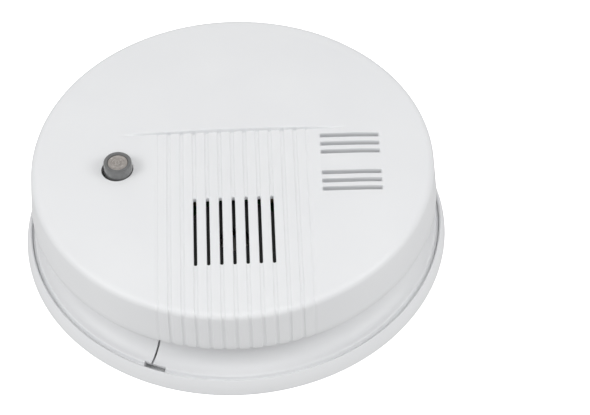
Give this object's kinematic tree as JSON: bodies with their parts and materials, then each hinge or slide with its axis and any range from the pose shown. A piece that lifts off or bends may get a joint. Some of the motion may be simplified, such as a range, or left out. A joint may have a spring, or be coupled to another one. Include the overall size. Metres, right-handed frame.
{
  "type": "smoke detector",
  "caption": "Round ceiling smoke alarm: ribbed white cover over a waisted body, twist-on mounting bracket, smoked test button, rear battery door.",
  "frame": {"origin": "centre of the bracket's flat back face, which lies on the ceiling in use", "axes": "+Z out of the alarm's face, away from the ceiling; the slots in the face run along Y; +X to the louvre side, -X to the test button"},
  "size_m": [0.127, 0.127, 0.0358],
  "materials": {
    "white_plastic": "satin moulded ABS, white",
    "smoked_clear_plastic": "smoked clear polycarbonate",
    "black_plastic": "black moulded plastic",
    "board": "green solder resist on laminate",
    "steel": "bright tinned or plated steel",
    "brass": "rolled brass",
    "ceramic": "matte off-white ceramic",
    "insulator": "natural nylon",
    "red_lens": "clear red epoxy lens",
    "red_insulation": "red wire insulation",
    "resistor": "tan lacquer",
    "copper_wire": "lacquered copper winding",
    "silver_jacket": "plain silver battery jacket"
  },
  "bodies": {
    "bracket": {"mounting_bracket": "white_plastic"},
    "head": {"back_housing": "white_plastic", "front_cover": "white_plastic", "tamper_tab": "white_plastic", "switch_case": "black_plastic", "status_led": "red_lens", "led_spacer": "insulator", "circuit_board": "board", "alarm_chip": "black_plastic", "storage_capacitor": "black_plastic", "filter_capacitor": "black_plastic", "horn_coil": "copper_wire", "resistor_1": "resistor", "resistor_2": "resistor", "resistor_3": "resistor", "resistor_4": "resistor", "horn_body": "black_plastic", "horn_base_ring": "black_plastic", "piezo_plate": "brass", "piezo_ceramic": "ceramic", "horn_contact_1": "steel", "horn_contact_2": "steel", "horn_contact_3": "steel", "chamber_insulator": "insulator", "chamber_can": "steel", "collector_plate": "steel", "source_holder": "steel", "source_foil": "brass", "battery_case": "silver_jacket", "battery_end_cap": "black_plastic", "battery_terminal_positive": "steel", "battery_terminal_negative": "steel", "contact_clip_positive": "steel", "contact_clip_negative": "steel", "contact_block": "black_plastic", "lead_red": "red_insulation", "lead_black": "black_plastic", "cover_screw_1": "steel", "cover_screw_2": "steel", "cover_screw_3": "steel", "board_screw_1": "steel", "board_screw_2": "steel", "board_screw_3": "steel"},
    "door": {"battery_door": "white_plastic"},
    "button": {"test_button": "smoked_clear_plastic"},
    "plunger": {"switch_plunger": "black_plastic"}
  },
  "joints": [
    {"name": "head_twist", "type": "hinge", "parent": "bracket", "child": "head", "pos_m": [0, 0, 0], "axis": [0, 0, 1], "range_deg": [0, 15]},
    {"name": "battery_door_swing", "type": "hinge", "parent": "head", "child": "door", "pos_m": [0, 0.009, 0.0072], "axis": [-1, 0, 0], "range_deg": [0, 90]},
    {"name": "test_button_press", "type": "slide", "parent": "head", "child": "button", "axis": [0, 0, -1], "range_m": [0, 0.0012], "stiffness_N_per_m": 500},
    {"name": "switch_plunger_travel", "type": "slide", "parent": "head", "child": "plunger", "axis": [0, 0, -1], "range_m": [0, 0.0012]}
  ],
  "couplings": [
    {"joint": "switch_plunger_travel", "follows": "test_button_press", "ratio": 1}
  ]
}
